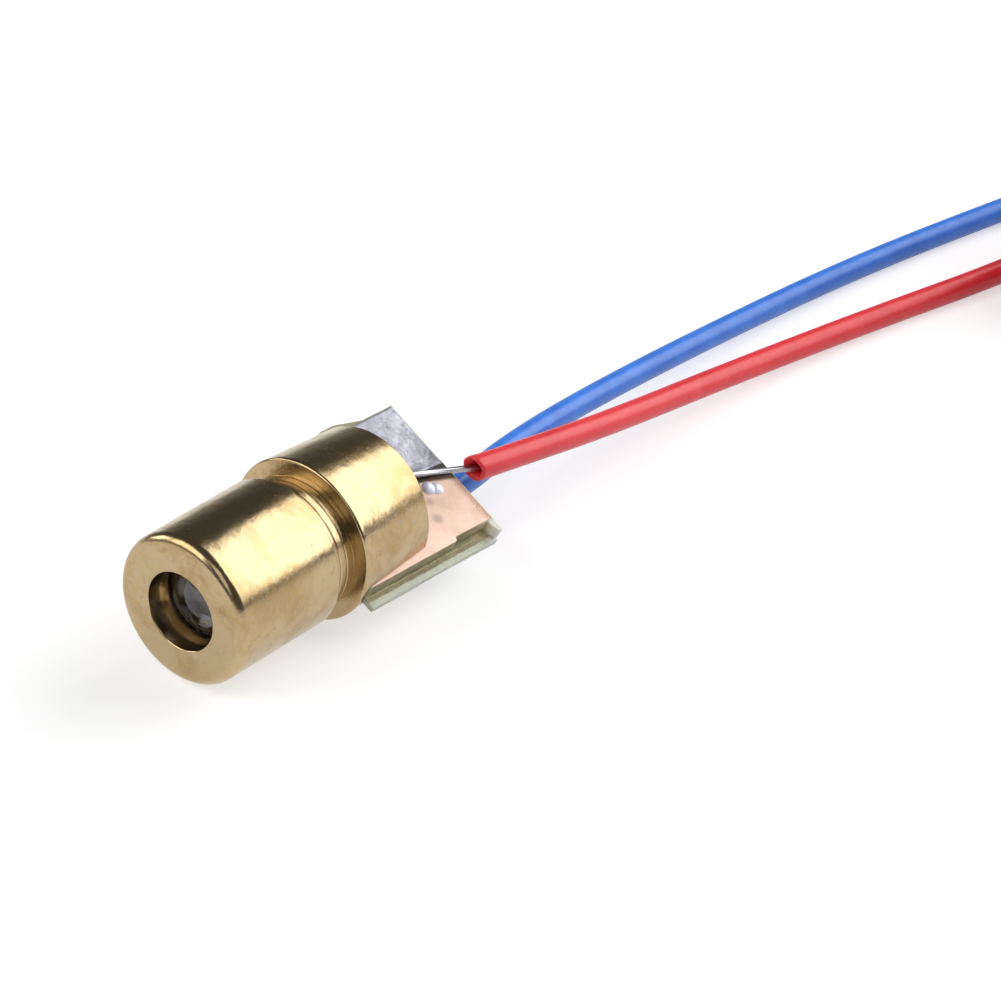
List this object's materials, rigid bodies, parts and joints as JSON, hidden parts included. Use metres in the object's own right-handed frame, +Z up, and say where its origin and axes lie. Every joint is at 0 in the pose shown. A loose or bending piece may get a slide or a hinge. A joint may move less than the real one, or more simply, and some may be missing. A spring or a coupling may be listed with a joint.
{
  "type": "laser diode module",
  "caption": "Brass laser diode module: a lens sleeve screwed on a slotted body that holds a small circuit board, with a red and a blue lead soldered to the board.",
  "frame": {"origin": "on the beam axis, at the middle of the front sleeve's straight wall", "axes": "+Z up with the module lying on its shoulder, the beam leaves along -Y, the leads run off towards +Y"},
  "size_m": [0.0165, 0.06, 0.0065],
  "materials": {
    "brass": "turned, bright, lightly stained",
    "lens_glass": "clear",
    "board_laminate": "snapped glass-fibre laminate",
    "copper_foil": "bare copper, satin",
    "solder_tin": "hot-dipped solder",
    "mount_metal": "plated",
    "chip": "cleaved crystal",
    "bond_gold": "drawn",
    "resistor_ceramic": "glazed ceramic",
    "tinned_wire": "tinned strands",
    "red_insulation": "semi-gloss vinyl",
    "blue_insulation": "semi-gloss vinyl",
    "tie_plastic": "matt"
  },
  "bodies": {
    "rear": {"rear_body": "brass", "circuit_board": "board_laminate", "copper_field": "copper_foil", "tinned_field": "solder_tin", "underside_fields": "copper_foil", "chip_mount": "mount_metal", "laser_chip": "chip", "bond_wire": "bond_gold", "series_resistor": "resistor_ceramic", "resistor_caps": "solder_tin", "resistor_solder": "solder_tin", "solder_blob": "solder_tin", "red_conductor": "tinned_wire", "solder_joint_red": "solder_tin", "blue_conductor": "tinned_wire", "solder_joint_blue": "solder_tin", "red_lead": "red_insulation", "red_coil": "red_insulation", "red_tip": "tinned_wire", "blue_lead": "blue_insulation", "blue_coil": "blue_insulation", "blue_tip": "tinned_wire", "coil_ties": "tie_plastic"},
    "lens_stage": {"collimating_lens": "lens_glass"},
    "sleeve": {"front_sleeve": "brass"}
  },
  "joints": [
    {"name": "focus_travel", "type": "slide", "parent": "rear", "child": "lens_stage", "axis": [0, 1, 0], "range_m": [-0.0007, 0.00105]},
    {"name": "focus_turn", "type": "hinge", "parent": "lens_stage", "child": "sleeve", "pos_m": [0, 0, 0], "axis": [0, 1, 0], "range_deg": [-721, 1081]}
  ],
  "couplings": [
    {"joint": "focus_turn", "follows": "focus_travel", "rad_per_m": 17952}
  ]
}
